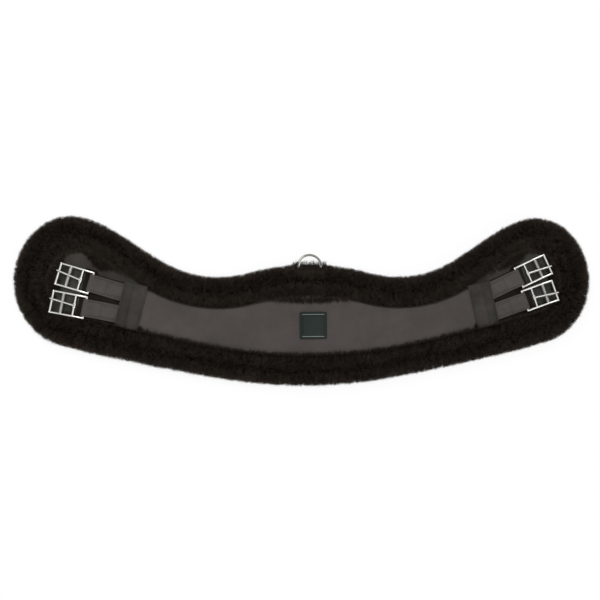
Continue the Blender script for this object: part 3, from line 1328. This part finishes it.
# %% Stitch paths
STITCH_SPACING = 0.0032
SIDE_ROW, INNER_ROW = 9.5, 7.2
CROSS_ROWS = ((-13.4, 28.5), (3.4, 29.08), (13.4, 29.05))
LABEL_ROW, LABEL_REACH, LABEL_STITCH_Z = 16.5, 15.2, 27.37
strap_top = strap_path[: FLAT_STEPS + PART_STEPS].T
paths = []
for corner in CORNERS:
    place = on_strap(corner)
    rows = [(np.linspace(2, 40.5, 30), side * SIDE_ROW) for side in (-1, 1)]
    rows += [(np.linspace(2, 19, 12), side * INNER_ROW) for side in (-1, 1)]
    rows.append((22.5, np.linspace(-INNER_ROW, INNER_ROW, 8)))
    paths += [place(u, across, np.interp(u, *strap_top) + STRAP_T / 2) for u, across in rows]
cross_row = np.linspace(-27, 27, 40)
for side in (-1, 1):
    paths += [cross_place(side, out_by, cross_row, level - sag(cross_row)) for out_by, level in CROSS_ROWS]
for quarter in (0, 90, 180, 270):
    out, aside = LABEL_ROW * turned(quarter), LABEL_REACH * turned(quarter + 90)
    paths.append(raised([LABEL_C + out + t * aside for t in (-1, 1)], LABEL_STITCH_Z))

path_edges, first = [], 0
for path in paths:
    path_edges += [(k, k + 1) for k in range(first, first + len(path) - 1)]
    first += len(path)
seams = bpy.data.meshes.new("seams")
seams.from_pydata(np.concatenate(paths) * MM, path_edges, [])
seam_paths = show("seam_paths", seams)
sewn = run_tree(seam_paths, STITCH_TREE, Spacing=STITCH_SPACING, Stitch=stitch, Material=thread_finish)
sewn.polygons.foreach_set("use_smooth", [True] * len(sewn.polygons))
fit(show("stitching", sewn), "webbing")
print("stitches:", len(sewn.polygons) // len(stitch.data.polygons))
for spare in (seam_paths, stitch, *locks.objects):
    bpy.data.objects.remove(spare)
bpy.data.collections.remove(locks)

# %% [markdown]
# ## Studio
# The girth lies on a white floor under soft light. The camera sees the floor and the room as plain white,
# while the light that falls on the girth stays at a plain level. In reflections the room is bright overhead
# and dark at its sides, so that the steel looks round. A part of the floor's colour still comes from the
# lamps, so that the shadow shows.

# %% Floor and room
FLOOR_HALF, FLOOR_GLOW, FLOOR_SEEN = 3000, 1.06, 0.86
ROOM_LIGHT, ROOM_SEEN, ROOM_RISE, ROOM_SIDES = 0.45, 0.55, 1.25, -0.4
WHITE, PAPER = (1, 1, 1, 1), (0.85, 0.85, 0.85, 1)


def bare_tree(owner):
    """Empty node tree of a material or a world."""
    owner.use_nodes = True
    owner.node_tree.nodes.clear()
    return owner.node_tree


def ray_kinds(tree):
    """1 for rays from the camera, also through glass, and 1 for reflections."""
    path = add(tree, "ShaderNodeLightPath")
    return maths(tree, "MAXIMUM", path["Is Camera Ray"], path["Is Transmission Ray"]), path["Is Glossy Ray"]


paper = bpy.data.materials.new("white_paper")
tree = bare_tree(paper)
matt = add(tree, "ShaderNodeBsdfDiffuse", {"Color": PAPER})[0]
glow = add(tree, "ShaderNodeEmission", {"Color": WHITE, "Strength": FLOOR_GLOW})[0]
seen = maths(tree, "MULTIPLY", maths(tree, "MAXIMUM", *ray_kinds(tree)), FLOOR_SEEN)
mixed = add(tree, "ShaderNodeMixShader", {0: seen, 1: matt, 2: glow})[0]
add(tree, "ShaderNodeOutputMaterial", {0: mixed})
corners = [(x * FLOOR_HALF, y * FLOOR_HALF, 0) for x, y in ((-1, -1), (1, -1), (1, 1), (-1, 1))]
floor = make_piece("floor", corners, [(0, 1, 2, 3)], paper)

room = bpy.data.worlds.new("room")
tree = bare_tree(room)
seen, mirrored = ray_kinds(tree)
heading = add(tree, "ShaderNodeTexCoord")["Generated"]
height = add(tree, "ShaderNodeSeparateXYZ", {0: heading})[2]
overhead = maths(tree, "MULTIPLY_ADD", height, ROOM_RISE, ROOM_SIDES)
light = maths(tree, "MULTIPLY_ADD", mirrored, overhead, ROOM_LIGHT)
light = maths(tree, "MULTIPLY_ADD", seen, ROOM_SEEN, light)
sky = add(tree, "ShaderNodeBackground", {"Color": WHITE, "Strength": light})[0]
add(tree, "ShaderNodeOutputWorld", {0: sky})
scene.world = room
scene.view_settings.view_transform = "Standard"
print("stage set")

# %% Lamps
def soft_lamp(name, place, size, power):
    """Round lamp that shines on the middle of the girth."""
    data = bpy.data.lights.new(name, "AREA")
    data.shape, data.size, data.energy = "DISK", size, power
    lamp = show(name, data)
    lamp.location = place
    lamp.rotation_euler = (-Vector(place)).to_track_quat("-Z", "Y").to_euler()


soft_lamp("key", (-0.7, 0.9, 1.7), 1.0, 16)
soft_lamp("fill", (1.2, -0.8, 1.5), 1.2, 6)
print("lamps: 2")
